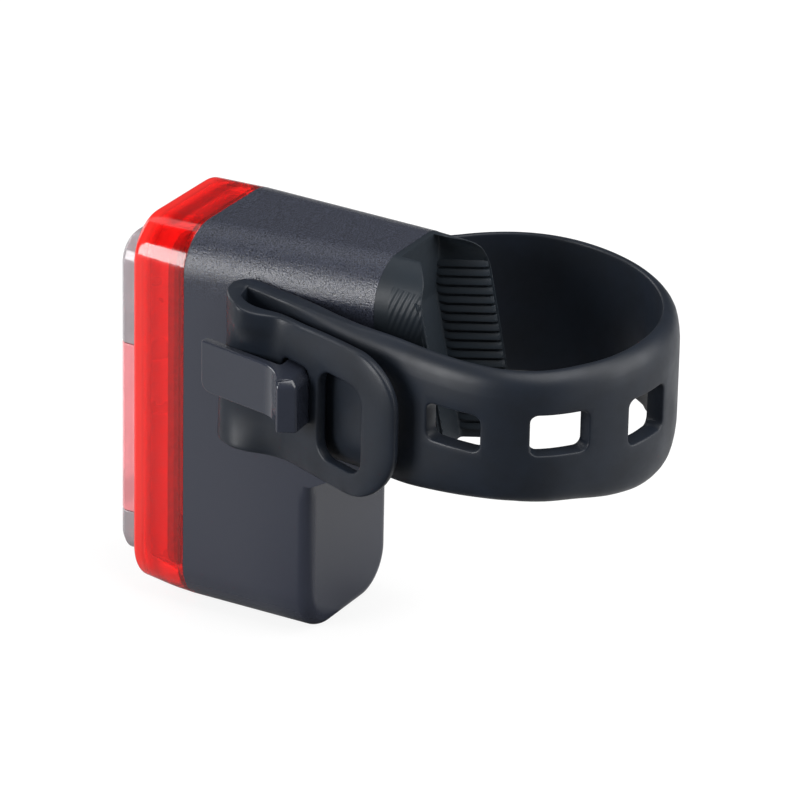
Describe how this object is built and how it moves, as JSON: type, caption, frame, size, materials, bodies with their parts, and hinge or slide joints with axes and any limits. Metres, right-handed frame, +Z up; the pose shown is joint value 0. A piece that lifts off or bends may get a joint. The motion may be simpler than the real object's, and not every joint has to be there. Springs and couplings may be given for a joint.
{
  "type": "bike rear light",
  "caption": "Compact red bicycle rear light with a black housing, a ribbed rubber saddle pad and a perforated rubber strap that loops round the seat post and hooks onto the housing.",
  "frame": {"origin": "on the seat post's axis, at the mid height of the strap", "axes": "+Z up, -Y from the seat post to the red lens, +X to the side that carries the hook"},
  "size_m": [0.0488, 0.0774, 0.0578],
  "materials": {
    "housing": "spark-eroded satin",
    "lens": "polished, see-through red",
    "window": "polished, see-through red",
    "bezel": "polished",
    "pad": "matte",
    "strap": "matte silicone",
    "hook": "smooth satin",
    "seal": "matte",
    "button": "matte",
    "guide": "frosted",
    "reflector": "white satin",
    "board": "solder mask",
    "lamp": "clear",
    "switch": "moulded",
    "steel": "plated",
    "cell": "foil pouch",
    "foam": "closed-cell foam",
    "lead": "insulated wire"
  },
  "bodies": {
    "light": {"housing": "housing", "saddle_pad": "pad", "lens_cap": "lens", "lens_seal": "seal", "window_plate": "window", "button_bezel": "bezel", "lower_bezel": "bezel", "light_guide": "guide", "reflector_tray": "reflector", "circuit_board": "board", "lamps": "lamp", "tact_switch": "switch", "stem_seal": "seal", "usb_socket": "steel", "battery_cell": "cell", "battery_foam": "foam", "battery_leads": "lead", "board_screws": "steel", "cover_anchor": "seal", "strap_hook": "hook", "hook_screws": "steel", "strap_stud": "hook", "stud_screw": "steel", "strap_anchor": "strap"},
    "button": {"mode_button": "button", "switch_plunger": "switch"},
    "port_cover": {"port_cover": "seal"},
    "strap_arm": {"strap_loop": "strap", "strap_run": "strap", "strap_tail": "strap"},
    "pull_tab": {"pull_tab": "strap"}
  },
  "joints": [
    {"name": "mode_press", "type": "slide", "parent": "light", "child": "button", "axis": [0, 1, 0], "range_m": [0, 0.0007], "stiffness_N_per_m": 1500, "springref_m": -0.0003},
    {"name": "cover_swing", "type": "hinge", "parent": "light", "child": "port_cover", "pos_m": [0, -0.03514, -0.042], "axis": [1, 0, 0], "range_deg": [0, 100], "stiffness_Nm_per_rad": 0.004},
    {"name": "strap_open", "type": "hinge", "parent": "light", "child": "strap_arm", "pos_m": [-0.0134, 0.01522, 0], "axis": [0, 0, 1], "range_deg": [0, 90], "stiffness_Nm_per_rad": 0.02, "deforming": ["strap_run", "strap_tail"]},
    {"name": "tab_lift", "type": "hinge", "parent": "strap_arm", "child": "pull_tab", "pos_m": [0.01849, -0.02383, -0.0023], "axis": [0, 0, -1], "range_deg": [0, 60], "stiffness_Nm_per_rad": 0.004}
  ]
}
